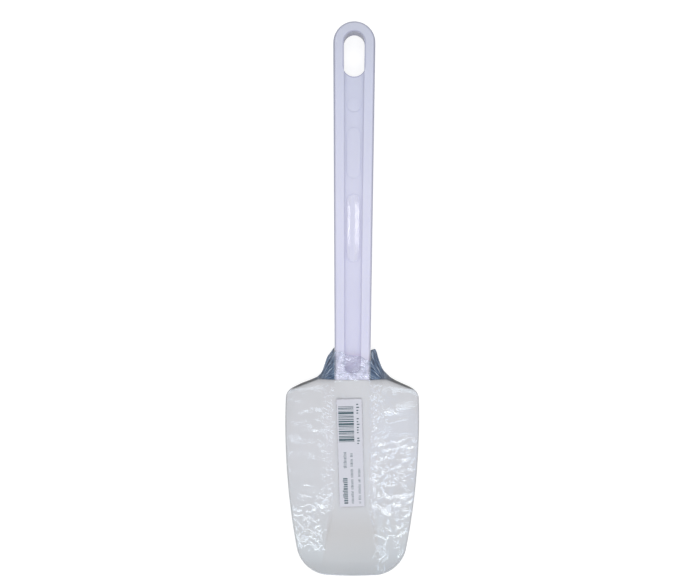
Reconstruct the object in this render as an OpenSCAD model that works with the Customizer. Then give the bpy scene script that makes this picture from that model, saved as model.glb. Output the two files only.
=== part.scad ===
// Plastic scraper: a spoon-shaped blade moulded on a channelled handle, in its clear shrink film.
// Millimetres. The tool lies on its back: +Y points to the hanging end and +Z up from the dish.

/* [Handle] */
// Length of the handle that shows, from its hanging end to the blade
handle_l = 163.5; // [130:0.1:220]
// Width across the hanging end
handle_w = 19.2; // [17.4:0.1:24]
// Width where the handle enters the blade
neck_w = 16.1; // [14:0.1:17]
// Thickness over the two rails
handle_t = 8; // [7:0.1:10]
// Radius on the outer edges of the rails
rail_round = 1.5; // [0.5:0.1:2.6]
// Thickness of the web between the two channels
web_t = 3.4; // [1.4:0.1:5]
// Width of the channels at the hanging end
channel_w = 9.6; // [7:0.1:11]
// Width of the channels at the blade end
channel_neck_w = 7.6; // [5.5:0.1:9]
// Length of the solid block between the channels and the blade
end_block_l = 3; // [2:0.1:10]
// Length of the hanging slot from end to end
slot_l = 20.2; // [14:0.1:40]

/* [Handle pads] */
// Height of the pads above the floor of the front channel
pad_h = 0.35; // [0.1:0.05:0.8]
// Width of the long pads, and the diameter of the round one
pad_w = 6.2; // [4:0.1:6.8]
// Length of the pad nearer the blade
low_pad_l = 30.9; // [15:0.1:40]
// Length of the pad nearer the slot
high_pad_l = 22.9; // [10:0.1:30]
// Clear length between the end block and the lower pad
low_pad_gap = 50.8; // [20:0.1:55]
// Clear length between one pad and the next
pad_gap = 7.4; // [3:0.1:12]

/* [Tongue] */
// Length of the barbed tongue inside the blade
tongue_l = 45; // [30:0.5:55]
// Width over the barbs
tongue_w = 11; // [8:0.1:12]
// How far each barb stands out of the tongue
barb_d = 0.9; // [0.4:0.1:1.5]
// Number of barbs on each edge
barbs = 4; // [2:1:6]
// Thickness of the blade around the tongue at its root
skin_root = 1.8; // [1.2:0.1:2.4]
// Thickness of the blade around the tongue at its end
skin_end = 0.9; // [0.6:0.1:1.2]
// Clearance all round the tongue in its socket
fit_gap = 0.05; // [0.02:0.01:0.15]

/* [Blade] */
// Length from the shoulders to the tip
blade_l = 90.1; // [75:0.5:120]
// Greatest width
blade_w = 60.6; // [52:0.1:76]
// Distance of the greatest width from the shoulders
widest_at = 18; // [12:0.5:26]
// Radius of the long side curves
side_r = 325; // [220:5:600]
// Radius of the two tip corners
tip_corner_r = 15; // [9:0.5:20]
// Rise of the tip edge between its corners
tip_bow = 0.3; // [0.1:0.1:1]
// Width of the straight part of the shoulders
shoulder_w = 31; // [26:0.1:36]
// Fall of the shoulders towards the sides, in degrees
shoulder_fall = 20.6; // [10:0.1:28]
// Radius of the two shoulder corners
shoulder_r = 4.5; // [2.5:0.1:7]
// Width of the flat top of the spine
spine_w = 15.6; // [12:0.1:17]
// Distance from the tip at which the spine has run out
spine_stop = 6; // [4:0.1:12]
// Thickness of the wings beside the spine
wing_t = 2.4; // [1.6:0.1:3.2]
// Thickness of the wings at their rim
edge_t = 1.7; // [1:0.1:2.4]
// Radius on the rim
edge_round = 0.4; // [0.1:0.05:0.6]
// Rise of the rim along the sides of the dish
rim_h = 3.2; // [1:0.1:6]
// Rise of the rim at the shoulders
shoulder_h = 2; // [0.5:0.1:3]
// Rise of the rim at the tip
tip_h = 1.2; // [0.4:0.1:2.5]

/* [Shrink film] */
// Thickness of the film
film_t = 0.15; // [0.05:0.01:0.3]
// Clearance between the film and what it wraps
film_gap = 0.25; // [0.1:0.05:0.5]
// Length of the gathered ears, from the open hem to the side of the blade
ear_l = 21.1; // [14:0.1:30]

/* [Label] */
// Length of the paper label
label_l = 49.9; // [30:0.1:55]
// Width of the paper label
label_w = 11.7; // [6:0.1:12]
// Thickness of the paper label
label_t = 0.12; // [0.08:0.01:0.3]
// Turn of the label from the line of the handle, in degrees
label_turn = 2; // [-2:0.5:2]
// Distance from the shoulders to the label
label_gap = 8.6; // [4:0.1:12]
// Place of its middle to the right of the line of the handle
label_x = -0.65; // [-2:0.05:2]
// Clearance between the label and the film
label_seat = 0.03; // [0.01:0.01:0.1]

/* [Hidden] */
// Smoothness of true circles
$fn = 96;
// Overrun that carries a cut past the face it leaves
cut = 1;
// A right angle, in degrees
right_angle = 90;

// Distance of the outer face of the film from what it wraps, which also lifts the tool off the table
wrap = film_gap + film_t;
// Height of the tool's back
back_z = wrap;
// Whole length, centred on the origin
total_l = handle_l + blade_l + wrap;
// Where the handle ends and the blade starts
shoulder_y = total_l / 2 - handle_l;
// Centre of the round hanging end
arch_y = total_l / 2 - handle_w / 2;
// Angle of the outer edges, which touch the round end and meet the neck width
reach = arch_y - shoulder_y;
taper = atan2(reach, neck_w / 2) - acos((handle_w / 2) / norm([reach, neck_w / 2]));
// Radius of the channel and slot ends over half their width
end_round_share = 1.12;
// Depth of each channel
channel_d = (handle_t - web_t) / 2;

// Mix of a and b at share s
function mix(a, b, s) = a + (b - a) * s;
// Share s held between 0 and 1
function held(s) = min(1, max(0, s));
// Smooth step of a share from 0 to 1
function eased(s) = held(s) * held(s) * (3 - 2 * held(s));
// Place at distance b down the blade from the shoulders
function at(x, b, z) = [x, shoulder_y - b, z];

// Half of the bar's section: a rounded outer edge at x = w, and a flat side at x = from
module half_section(from, w) {
    translate([from, 0])
        square([w - rail_round - from, handle_t]);
    translate([from, rail_round])
        square([w - from, handle_t - 2 * rail_round]);
    for (z = [rail_round, handle_t - rail_round])
        translate([w - rail_round, z])
            circle(rail_round);
}

// The solid bar that the channels are cut from
module bar() {
    translate([0, arch_y, back_z]) {
        rotate_extrude()
            half_section(channel_w / 4, handle_w / 2);
        for (side = [0, 1])
            mirror([side, 0, 0])
                rotate([0, 0, -taper])
                    rotate([90, 0, 0])
                        linear_extrude(reach + cut)
                            half_section(-handle_w / 4, handle_w / 2);
    }
}

// A pocket outline from y0 up to the arch, w0 wide at its foot, with a round foot
module pocket_outline(y0, w0) {
    foot_r = w0 / 2 * end_round_share;
    side_y = y0 + foot_r;
    arch_r = channel_w / 2;
    translate([0, arch_y])
        circle(arch_r);
    polygon([[-w0 / 2, side_y], [w0 / 2, side_y], [arch_r, arch_y], [-arch_r, arch_y]]);
    intersection() {
        translate([0, side_y])
            circle(foot_r);
        translate([-w0 / 2, y0])
            square([w0, 2 * foot_r]);
    }
}

// Width of the channels at height y
function channel_at(y) = mix(channel_neck_w, channel_w, (y - channel_y) / (arch_y - channel_y));
channel_y = shoulder_y + end_block_l;
slot_y = arch_y + channel_w / 2 - slot_l;

// Raises its outline out of the middle of the web, over the floor of the front channel
module pad_from(y) {
    translate([0, y, back_z + handle_t / 2])
        linear_extrude(web_t / 2 + pad_h)
            children();
}

// A pad with round ends, l long over all, with its foot at y
module long_pad(y, l) {
    pad_from(y) {
        for (end = [pad_w / 2, l - pad_w / 2])
            translate([0, end])
                circle(pad_w / 2);
        translate([-pad_w / 2, pad_w / 2])
            square([pad_w, l - pad_w]);
    }
}

low_pad_y = channel_y + low_pad_gap;
high_pad_y = low_pad_y + low_pad_l + pad_gap;
disc_y = high_pad_y + high_pad_l + pad_gap + pad_w / 2;

// Half of the tongue's outline: barbs whose steps face the handle, grown by g
barb_pitch = tongue_l / (barbs + 0.5);
function tongue_half(g) = [
    [tongue_w / 2 - barb_d + g, -cut],
    for (k = [0 : barbs - 1]) each [
        [tongue_w / 2 - barb_d + g, (k + 0.5) * barb_pitch - g],
        [tongue_w / 2 + g, (k + 0.5) * barb_pitch - g],
    ],
    [tongue_w / 2 - barb_d + g, tongue_l + g],
];

// Heights of the front and back of the wedge that the tongue is cut to
function tongue_front(b) = mix(back_z + handle_t - skin_root, spine_z(tongue_l) - skin_end, b / tongue_l);
function tongue_back(b) = back_z + mix(skin_root, skin_end, b / tongue_l);

// The tongue, grown by g for its socket, from distance start down the blade
module tongue(g, start) {
    half = tongue_half(g);
    other = [for (k = [len(half) - 1 : -1 : 0]) [-half[k][0], half[k][1]]];
    end = tongue_l + g;
    intersection() {
        translate([0, shoulder_y, back_z])
            mirror([0, 1, 0])
                linear_extrude(handle_t)
                    polygon(concat(half, other));
        translate([-tongue_w, shoulder_y, 0])
            rotate([90, 0, 90])
                linear_extrude(2 * tongue_w)
                    polygon([
                        [-start, tongue_back(start) - g],
                        [-start, tongue_front(start) + g],
                        [-end, tongue_front(end) + g],
                        [-end, tongue_back(end) - g],
                    ]);
    }
}

module handle() {
    color("lavender") {
        difference() {
            bar();
            translate([-handle_w / 2, shoulder_y + fit_gap - 2 * cut - handle_w, back_z - cut])
                cube([handle_w, handle_w + 2 * cut, handle_t + 2 * cut]);
            for (z = [back_z - cut, back_z + handle_t - channel_d])
                translate([0, 0, z])
                    linear_extrude(channel_d + cut)
                        pocket_outline(channel_y, channel_neck_w);
            translate([0, 0, back_z + channel_d - cut])
                linear_extrude(web_t + 2 * cut)
                    pocket_outline(slot_y, channel_at(slot_y));
        }
        long_pad(low_pad_y, low_pad_l);
        long_pad(high_pad_y, high_pad_l);
        pad_from(disc_y)
            circle(pad_w / 2);
        tongue(0, -end_block_l / 2);
    }
}

// Length of the spine, and the thickness that it keeps where it runs out into the tip
spine_l = blade_l - spine_stop;
spine_end_h = edge_round;
// Where the spine starts to widen towards the tip, and by how much for each length
flare_share = 0.64;
flare_slope_share = 0.2;
// Slope of the spine's sides: run over height, and the width of their foot
draft_share = 0.35;
foot_run = edge_round;

// Height of the spine's flat top
function spine_z(b) = back_z + mix(handle_t, wing_t + spine_end_h, b / spine_l);
// Half the width of the spine's flat top
function spine_half(b) = spine_w / 2 + flare_slope_share * max(0, b - flare_share * blade_l);
// Run of the spine's side from its top edge to its foot
function side_run(b) = foot_run + draft_share * (spine_z(b) - back_z - wing_t);
function foot_half(b) = spine_half(b) + side_run(b);
// Rise of the rim at distance b
function rim_rise(b) = b < blade_l / 2
    ? mix(shoulder_h, rim_h, eased(b / widest_at))
    : mix(rim_h, tip_h, eased(2 * b / blade_l - 1));

// Centre of the side curve, and of the tip and shoulder corners that touch it
side_c = [blade_w / 2 - side_r, widest_at];
tip_cb = blade_l - tip_bow - tip_corner_r;
tip_c = [side_c[0] + sqrt(pow(side_r - tip_corner_r, 2) - pow(tip_cb - widest_at, 2)), tip_cb];
tip_a = atan2(tip_c[1] - side_c[1], tip_c[0] - side_c[0]);
function corner_b(x) = (shoulder_r + (x - shoulder_w / 2) * sin(shoulder_fall)) / cos(shoulder_fall);
function corner_x(b) = side_c[0] + sqrt(pow(side_r - shoulder_r, 2) - pow(b - widest_at, 2));
corner_cx = corner_x(corner_b(blade_w / 2 - shoulder_r));
corner_c = [corner_cx, corner_b(corner_cx)];
corner_a = atan2(corner_c[1] - side_c[1], corner_c[0] - side_c[0]);

// Point on a circle at angle a, with distances b counted down the blade
function on_circle(c, r, a) = c + r * [cos(a), sin(a)];

// Rows round half the rim: down the side, round the corner, along the tip
side_rows = 12;
corner_rows = 7;
tip_rows = 3;
half_rows = side_rows + corner_rows + tip_rows;
// Rows that even out from the bent shoulder to the straight ones
bent_rows = 5;
// Columns from the foot of the spine, share 0, to the rim, share 1
column_shares = [0, 0.12, 0.26, 0.4, 0.54, 0.67, 0.79, 0.88, 0.95, 0.985, 1];
columns = len(column_shares) - 1;

// Plan place on the rim for row j, grown outwards by g
function rim_at(j, g = 0) = j <= side_rows
    ? on_circle(side_c, side_r + g, mix(corner_a, tip_a, j / side_rows))
    : j <= side_rows + corner_rows
        ? on_circle(tip_c, tip_corner_r + g, mix(tip_a, right_angle, (j - side_rows) / corner_rows))
        : tip_edge(1 - (j - side_rows - corner_rows) / tip_rows, g);
// Plan place on the tip edge, at share s of the way out to its corner
function tip_edge(s, g) = [s * tip_c[0], blade_l - tip_bow * s * s + g];

// Plan place on the ring round the spine for row j, drawn in by the run in
foot_r = spine_stop;
foot_b = spine_l - foot_r;
function ring_at(j, in) = j <= side_rows
    ? let (b = foot_b * j / side_rows) [foot_half(b) - in * side_run(b), b]
    : j <= side_rows + corner_rows
        ? on_circle([foot_half(foot_b) - foot_r, foot_b],
            foot_r - in * side_run(spine_l), right_angle * (j - side_rows) / corner_rows)
            + [in * (side_run(spine_l) - side_run(foot_b))
                * (1 - (j - side_rows) / corner_rows), 0]
        : [(foot_half(foot_b) - foot_r) * (half_rows - j) / tip_rows,
            spine_l - in * side_run(spine_l)];

// Plan place on the shoulder edge for column i: straight, falling, then round the corner
flat_columns = 2;
fall_columns = 5;
function shoulder_at(i) = i <= flat_columns
    ? [mix(foot_half(0), shoulder_w / 2, i / flat_columns), 0]
    : i <= fall_columns
        ? mix([shoulder_w / 2, 0], on_circle(corner_c, shoulder_r, shoulder_fall - right_angle),
            (i - flat_columns) / (fall_columns - flat_columns))
        : on_circle(corner_c, shoulder_r, mix(shoulder_fall - right_angle, corner_a,
            (i - fall_columns) / (columns - fall_columns)));

// Plan place of column i in row j of half the wing
function wing_at(i, j) = let (s = column_shares[i])
    mix(ring_at(j, 0), rim_at(j), s)
    + held(1 - j / bent_rows) * (shoulder_at(i) - mix(ring_at(0, 0), rim_at(0), s));
// Height of the back and the front of the wing there
function back_at(i, j) = back_z + rim_rise(rim_at(j)[1]) * pow(column_shares[i], 2)
    + (i == columns ? edge_round : 0);
function front_at(i, j) = back_z + rim_rise(rim_at(j)[1]) * pow(column_shares[i], 2)
    + mix(wing_t, edge_t, column_shares[i]) - (i == columns ? edge_round : 0);

// Mirror a half row's place p over to row r of the whole rim, which ends at the other shoulder
rows = 2 * half_rows;
function half_row(r) = r <= half_rows ? r : rows - r;
function placed(p, r, z) = at(r <= half_rows ? p[0] : -p[0], p[1], z);

// Two triangles for the four corners a, b, c, d in turn
function quad(a, b, c, d) = [[a, b, c], [a, c, d]];

module blade_solid() {
    front = [for (r = [0 : rows], i = [0 : columns])
        let (j = half_row(r)) placed(wing_at(i, j), r, front_at(i, j))];
    back = [for (r = [0 : rows], i = [0 : columns])
        let (j = half_row(r)) placed(wing_at(i, j), r, back_at(i, j))];
    spine = [for (r = [0 : rows])
        let (p = ring_at(half_row(r), 1)) placed(p, r, spine_z(p[1]))];
    wide = columns + 1;
    b0 = len(front);
    s0 = b0 + len(back);
    hubs = [at(0, spine_l / 2, spine_z(spine_l / 2)), at(0, spine_l / 2, back_z)];
    top_hub = s0 + len(spine);
    back_hub = top_hub + 1;
    faces = concat(
        [for (r = [0 : rows - 1], i = [0 : columns - 1]) let (k = r * wide + i)
            each quad(k, k + 1, k + wide + 1, k + wide)],
        [for (r = [0 : rows - 1], i = [0 : columns - 1]) let (k = b0 + r * wide + i)
            each quad(k, k + wide, k + wide + 1, k + 1)],
        [for (r = [0 : rows - 1]) let (k = r * wide + columns)
            each quad(k, k + b0, k + b0 + wide, k + wide)],
        [for (r = [0 : rows - 1])
            each quad(s0 + r, r * wide, (r + 1) * wide, s0 + r + 1)],
        [for (i = [0 : columns - 1]) each quad(i, b0 + i, b0 + i + 1, i + 1)],
        [for (i = [0 : columns - 1]) let (k = rows * wide + i)
            each quad(k, k + 1, b0 + k + 1, b0 + k)],
        [for (r = [0 : rows]) [top_hub, s0 + r, s0 + (r + 1) % (rows + 1)]],
        [for (r = [0 : rows]) [back_hub, b0 + (r + 1) % (rows + 1) * wide, b0 + r * wide]],
        quad(s0 + rows, rows * wide, 0, s0),
        quad(rows * wide, b0 + rows * wide, b0, 0)
    );
    polyhedron(concat(front, back, spine, hubs), faces, convexity = 6);
}

module blade() {
    color("whitesmoke")
        difference() {
            blade_solid();
            tongue(fit_gap, -cut);
        }
}

// Shape of the gathered ears: shares of their length, and of the width still to gain
ear_length_shares = [0, 0.1, 0.2, 0.38, 0.53, 0.64, 0.73, 0.81, 0.91];
ear_width_shares = [0.04, 0.08, 0.13, 0.206, 0.264, 0.344, 0.477, 0.659, 0.85];
ears = len(ear_length_shares);
// Angles of the rings round the shoulder corners, the first where the ears end
corner_angles = [-45, -30, -15];
corners = len(corner_angles);
ear_b = on_circle(corner_c, shoulder_r, corner_angles[0])[1];
// Number of rings from the hem to the tip
rings = ears + corners + half_rows + 1;

function neck_half(b) = neck_w / 2 + max(0, -b) * tan(taper);
// Width of the last ring at the tip, as a share of the straight tip edge
last_ring_share = 0.125;
// Half the width and the distance b of ring k, at clearance g from the blade
function ring_edge(k, g) = k < ears
    ? [mix(neck_w / 2, blade_w / 2, ear_width_shares[k]) + g - film_gap,
        ear_b - ear_l * (1 - ear_length_shares[k])]
    : k < ears + corners ? on_circle(corner_c, shoulder_r + g, corner_angles[k - ears])
    : let (p = rim_at(k - ears - corners, g)) [max(p[0], last_ring_share * tip_c[0]), p[1]];
// How far the ring has opened from the flat ear to the rim of the blade
function opened(b) = eased((b + shoulder_r) / (2 * shoulder_r));
// Share of the way from the end of the spine to the tip
function past_spine(b) = held((b - spine_l) / spine_stop);

// Heights of the film over the spine, under it, and over and under the rim
function film_spine_top(b, g) = g + (b < 0 ? back_z + handle_t
    : mix(spine_z(min(b, spine_l)), back_z + tip_h + edge_t, past_spine(b)));
function film_spine_back(b, g) = back_z - g + tip_h * pow(past_spine(b), 2);
function film_rim_top(b, g) = back_z + g + opened(b) * (rim_rise(held(b / blade_l) * blade_l) + edge_t);
// The back of the film leaves the table later than its front rises, over this share of a length
back_share = 1.7;
function film_rim_back(b, g) = back_z - g
    + eased((b - ear_b / 2) / (back_share * widest_at)) * rim_rise(held(b / blade_l) * blade_l);
film_columns = 5;

// Most of the width that the film over the spine takes up
spine_film_share = 0.98;

// The ring of points k at clearance g: across the top, then back under the tool
function film_ring(k, g) =
    let (
        w = ring_edge(k, g)[0],
        b = ring_edge(k, g)[1],
        top_half = min((b < 0 ? neck_half(b) : spine_half(b)) + g, spine_film_share * w),
        back_half = min((b < 0 ? neck_half(b) : foot_half(b)) + g, spine_film_share * w),
        half_back = [for (c = [0 : film_columns]) let (s = c / film_columns)
            [mix(back_half, w, s), mix(film_spine_back(b, g), film_rim_back(b, g), s * s)]]
    )
    concat(
        [at(-w, b, film_rim_top(b, g)), at(-top_half, b, film_spine_top(b, g))],
        [at(top_half, b, film_spine_top(b, g)), at(w, b, film_rim_top(b, g))],
        [for (c = [film_columns : -1 : 0]) at(half_back[c][0], b, half_back[c][1])],
        [for (c = [0 : film_columns]) at(-half_back[c][0], b, half_back[c][1])]
    );

module shrink_film() {
    round = len(film_ring(0, 0));
    outer = [for (k = [0 : rings - 1]) each film_ring(k, wrap)];
    inner = [for (k = [0 : rings - 1]) each film_ring(k, film_gap)];
    n0 = len(outer);
    last = (rings - 1) * round;
    hubs = [for (g = [wrap, film_gap]) let (k = rings - 1, b = ring_edge(k, g)[1])
        at(0, b, (film_spine_top(b, g) + film_spine_back(b, g)) / 2)];
    outer_hub = n0 + len(inner);
    inner_hub = outer_hub + 1;
    faces = concat(
        [for (k = [0 : rings - 2], i = [0 : round - 1])
            let (a = k * round + i, b = k * round + (i + 1) % round)
            each quad(a, b, b + round, a + round)],
        [for (k = [0 : rings - 2], i = [0 : round - 1])
            let (a = n0 + k * round + i, b = n0 + k * round + (i + 1) % round)
            each quad(a, a + round, b + round, b)],
        [for (i = [0 : round - 1]) let (b = (i + 1) % round)
            each quad(i, n0 + i, n0 + b, b)],
        [for (i = [0 : round - 1]) [outer_hub, last + i, last + (i + 1) % round]],
        [for (i = [0 : round - 1]) [inner_hub, n0 + last + (i + 1) % round, n0 + last + i]]
    );
    color("lightsteelblue", 0.5)
        polyhedron(concat(outer, inner, hubs), faces, convexity = 8);
}

module label() {
    fall = atan2(spine_z(0) - spine_z(spine_l), spine_l);
    middle_b = label_gap + label_l / 2;
    color("white")
        translate(at(label_x, middle_b, spine_z(middle_b) + wrap + label_seat))
            rotate([fall, 0, 0])
                rotate([0, 0, label_turn])
                    translate([-label_w / 2, -label_l / 2, 0])
                        cube([label_w, label_l, label_t]);
}

handle();
blade();
shrink_film();
label();
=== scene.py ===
"""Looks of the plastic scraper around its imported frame: a smooth blade, the crinkled shrink film
with its gathered ears, the print on the label, and the finish of every surface.

Sizes are in millimetres, as in the part's source, and meshes are made in metres.
"""

import math

import bmesh
import bpy
import numpy as np
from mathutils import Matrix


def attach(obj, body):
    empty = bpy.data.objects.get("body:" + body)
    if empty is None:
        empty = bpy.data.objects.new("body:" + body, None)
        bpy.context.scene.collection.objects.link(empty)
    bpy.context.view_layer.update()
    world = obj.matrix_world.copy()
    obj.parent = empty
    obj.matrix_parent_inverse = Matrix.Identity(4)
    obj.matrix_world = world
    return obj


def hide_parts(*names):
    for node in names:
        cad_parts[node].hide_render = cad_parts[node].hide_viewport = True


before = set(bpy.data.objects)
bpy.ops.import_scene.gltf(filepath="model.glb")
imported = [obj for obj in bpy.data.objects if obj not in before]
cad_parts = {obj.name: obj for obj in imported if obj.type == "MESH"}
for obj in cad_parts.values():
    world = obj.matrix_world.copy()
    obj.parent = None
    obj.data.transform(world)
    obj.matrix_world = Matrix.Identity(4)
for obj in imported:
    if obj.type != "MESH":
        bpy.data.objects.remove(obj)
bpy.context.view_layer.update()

MM = 0.001
SEED = 7

# ------------------------ sizes, as in the part's source
TOTAL_L = 254.0
HANDLE_L = 163.5
HANDLE_T = 8.0
NECK_W = 16.1
TAPER = math.radians(0.577)
END_BLOCK_L = 3.0
LOW_PAD_GAP, LOW_PAD_L, PAD_GAP, HIGH_PAD_L, PAD_W = 50.8, 30.9, 7.4, 22.9, 6.2
HANDLE_W, CHANNEL_W, SLOT_L, RAIL_ROUND = 19.2, 9.6, 20.2, 1.5
WEB_T, PAD_H = 3.4, 0.35

BLADE_L = 90.1
BLADE_W = 60.6
WIDEST_AT = 18.0
SIDE_R = 325.0
TIP_CORNER_R = 15.0
TIP_BOW = 0.3
SHOULDER_W = 31.0
SHOULDER_FALL = 20.6
SHOULDER_R = 4.5
SPINE_W = 15.6
SPINE_STOP = 6.0
WING_T, EDGE_T, EDGE_ROUND = 2.4, 1.7, 0.4
RIM_H, SHOULDER_H, TIP_H = 3.2, 2.0, 1.2
SPINE_END_H = EDGE_ROUND
FLARE_SHARE, FLARE_SLOPE = 0.64, 0.2
DRAFT_SHARE = 0.9
BACK_SHARE = 1.7

WRAP = 0.4
FILM_GAP = 0.3
BACK_Z = WRAP
LABEL_L, LABEL_W, LABEL_T = 49.9, 11.7, 0.12
LABEL_TURN, LABEL_GAP, LABEL_X, LABEL_SEAT = 2.0, 8.6, -0.65, 0.03

SHOULDER_Y = TOTAL_L / 2 - HANDLE_L
SPINE_L = BLADE_L - SPINE_STOP
ARCH_Y = TOTAL_L / 2 - HANDLE_W / 2
LOW_PAD_Y = SHOULDER_Y + END_BLOCK_L + LOW_PAD_GAP
HIGH_PAD_Y = LOW_PAD_Y + LOW_PAD_L + PAD_GAP


# ------------------------ shape functions
def mix(a, b, s):
    return a + (b - a) * s


def held(s):
    return np.clip(s, 0.0, 1.0)


def eased(s):
    s = held(s)
    return s * s * (3 - 2 * s)


def on_circle(centre, radius, degrees):
    """Points (x, b) on a circle, with b counted down the blade from the shoulders."""
    a = np.radians(np.asarray(degrees, float))
    return np.stack([centre[0] + radius * np.cos(a), centre[1] + radius * np.sin(a)], -1)


def spine_z(b):
    return BACK_Z + mix(HANDLE_T, WING_T + SPINE_END_H, b / SPINE_L)


def spine_half(b):
    return SPINE_W / 2 + FLARE_SLOPE * np.maximum(0, b - FLARE_SHARE * BLADE_L)


def side_run(b):
    return EDGE_ROUND + DRAFT_SHARE * (spine_z(b) - BACK_Z - WING_T)


def foot_half(b):
    return spine_half(b) + side_run(b)


def rim_rise(b):
    b = np.clip(b, 0, BLADE_L)
    return np.where(
        b < BLADE_L / 2,
        mix(SHOULDER_H, RIM_H, eased(b / WIDEST_AT)),
        mix(RIM_H, TIP_H, eased(2 * b / BLADE_L - 1)),
    )


# Centres (x, b) of the side curve, and of the tip and shoulder corners that touch it
SIDE_C = (BLADE_W / 2 - SIDE_R, WIDEST_AT)
TIP_CB = BLADE_L - TIP_BOW - TIP_CORNER_R
TIP_C = (SIDE_C[0] + math.sqrt((SIDE_R - TIP_CORNER_R) ** 2 - (TIP_CB - WIDEST_AT) ** 2), TIP_CB)
TIP_A = math.degrees(math.atan2(TIP_C[1] - SIDE_C[1], TIP_C[0] - SIDE_C[0]))


def shoulder_corner():
    fall = math.radians(SHOULDER_FALL)

    def corner_b(x):
        return (SHOULDER_R + (x - SHOULDER_W / 2) * math.sin(fall)) / math.cos(fall)

    b = corner_b(BLADE_W / 2 - SHOULDER_R)
    x = SIDE_C[0] + math.sqrt((SIDE_R - SHOULDER_R) ** 2 - (b - WIDEST_AT) ** 2)
    return x, corner_b(x)


CORNER_C = shoulder_corner()
CORNER_A = math.degrees(math.atan2(CORNER_C[1] - SIDE_C[1], CORNER_C[0] - SIDE_C[0]))

# The part's source gives the rim in these numbers of steps, which also place the ring round the spine
SIDE_STEPS, CORNER_STEPS, TIP_STEPS = 12, 7, 3
HALF_STEPS = SIDE_STEPS + CORNER_STEPS + TIP_STEPS
BENT_STEPS = 5
COLUMN_SHARES = (0, 0.12, 0.26, 0.4, 0.54, 0.67, 0.79, 0.88, 0.95, 0.985, 1)
FLAT_COLUMNS, FALL_COLUMNS = 2, 5
FOOT_R = SPINE_STOP
FOOT_B = SPINE_L - FOOT_R
FOOT_X = foot_half(FOOT_B) - FOOT_R
# How far the rows' starts on the middle line lag behind the ring
CENTRE_LAG = 6.0


def choose(steps, side, corner, tip):
    """Side, corner or tip values for each step round the half rim."""
    j = steps[:, None]
    return np.where(j <= SIDE_STEPS, side, np.where(j <= SIDE_STEPS + CORNER_STEPS, corner, tip))


def rim_at(steps, grown=0.0):
    """Plan places (x, b) on the rim at these steps, grown outwards."""
    out = held((steps - SIDE_STEPS) / CORNER_STEPS)
    along = held(1 - (steps - SIDE_STEPS - CORNER_STEPS) / TIP_STEPS)
    return choose(
        steps,
        on_circle(SIDE_C, SIDE_R + grown, mix(CORNER_A, TIP_A, held(steps / SIDE_STEPS))),
        on_circle(TIP_C, TIP_CORNER_R + grown, mix(TIP_A, 90, out)),
        np.stack([along * TIP_C[0], BLADE_L - TIP_BOW * along**2 + grown], -1),
    )


def ring_at(steps, drawn_in):
    """Plan places on the ring round the spine: its foot, or its top edge where drawn_in is 1."""
    b = FOOT_B * held(steps / SIDE_STEPS)
    turn = held((steps - SIDE_STEPS) / CORNER_STEPS)
    corner = on_circle((0, 0), 1, 90 * turn)
    corner = [FOOT_X, FOOT_B] + (FOOT_R - drawn_in * side_run(SPINE_L)) * corner
    corner[:, 0] += drawn_in * (side_run(SPINE_L) - side_run(FOOT_B)) * (1 - turn)
    left = held((HALF_STEPS - steps) / TIP_STEPS)
    return choose(
        steps,
        np.stack([foot_half(b) - drawn_in * side_run(b), b], -1),
        corner,
        np.stack([FOOT_X * left, 0 * left + SPINE_L - drawn_in * side_run(SPINE_L)], -1),
    )


def centre_at(steps, ring):
    """Plan places on the middle line where the rows start. They lag behind the ring, so that the rows
    past its corner fan out to its straight end."""
    along_side = ring[:, 1] - CENTRE_LAG * steps / SIDE_STEPS
    turn_b = FOOT_B - CENTRE_LAG
    past = mix(turn_b, ring[-1, 1], (steps - SIDE_STEPS) / (HALF_STEPS - SIDE_STEPS))
    return np.stack([np.zeros(len(steps)), np.where(steps < SIDE_STEPS, along_side, past)], -1)


def shoulder_at(share):
    """Plan places along the shoulder edge, from the foot of the spine round the corner."""
    i = np.interp(share, COLUMN_SHARES, range(len(COLUMN_SHARES)))[..., None]
    last = len(COLUMN_SHARES) - 1
    straight_end = np.array([SHOULDER_W / 2, 0.0])
    fall_end = on_circle(CORNER_C, SHOULDER_R, SHOULDER_FALL - 90)
    flat = mix(np.array([foot_half(0.0), 0.0]), straight_end, i / FLAT_COLUMNS)
    fall = mix(straight_end, fall_end, (i - FLAT_COLUMNS) / (FALL_COLUMNS - FLAT_COLUMNS))
    turn = held((i[..., 0] - FALL_COLUMNS) / (last - FALL_COLUMNS))
    arc = on_circle(CORNER_C, SHOULDER_R, mix(SHOULDER_FALL - 90, CORNER_A, turn))
    return np.where(i <= FLAT_COLUMNS, flat, np.where(i <= FALL_COLUMNS, fall, arc))


# ------------------------ mesh helpers
def merge_points(mesh, apart_mm, dissolve=False):
    """Merges doubled points, and dissolves the faces without area if asked to."""
    bm = bmesh.new()
    bm.from_mesh(mesh)
    bmesh.ops.remove_doubles(bm, verts=bm.verts, dist=apart_mm * MM)
    if dissolve:
        bmesh.ops.dissolve_degenerate(bm, edges=bm.edges, dist=apart_mm * MM)
    bm.to_mesh(mesh)
    bm.free()


def new_mesh(name, points_mm, faces, merge_mm=0.0):
    """A smooth-shaded object from points in millimetres."""
    mesh = bpy.data.meshes.new(name)
    mesh.from_pydata((np.asarray(points_mm) * MM).tolist(), [], faces)
    if merge_mm:
        merge_points(mesh, merge_mm, dissolve=True)
    mesh.polygons.foreach_set("use_smooth", [True] * len(mesh.polygons))
    mesh.update()
    obj = bpy.data.objects.new(name, mesh)
    bpy.context.scene.collection.objects.link(obj)
    return obj


def grid_faces(rows, columns, first=0, flip=False):
    """Quads of a grid of rows by columns points."""
    k = first + np.arange(rows - 1)[:, None] * columns + np.arange(columns - 1)[None, :]
    quads = np.stack([k, k + 1, k + columns + 1, k + columns], -1).reshape(-1, 4)
    return (quads[:, ::-1] if flip else quads).tolist()


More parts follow.
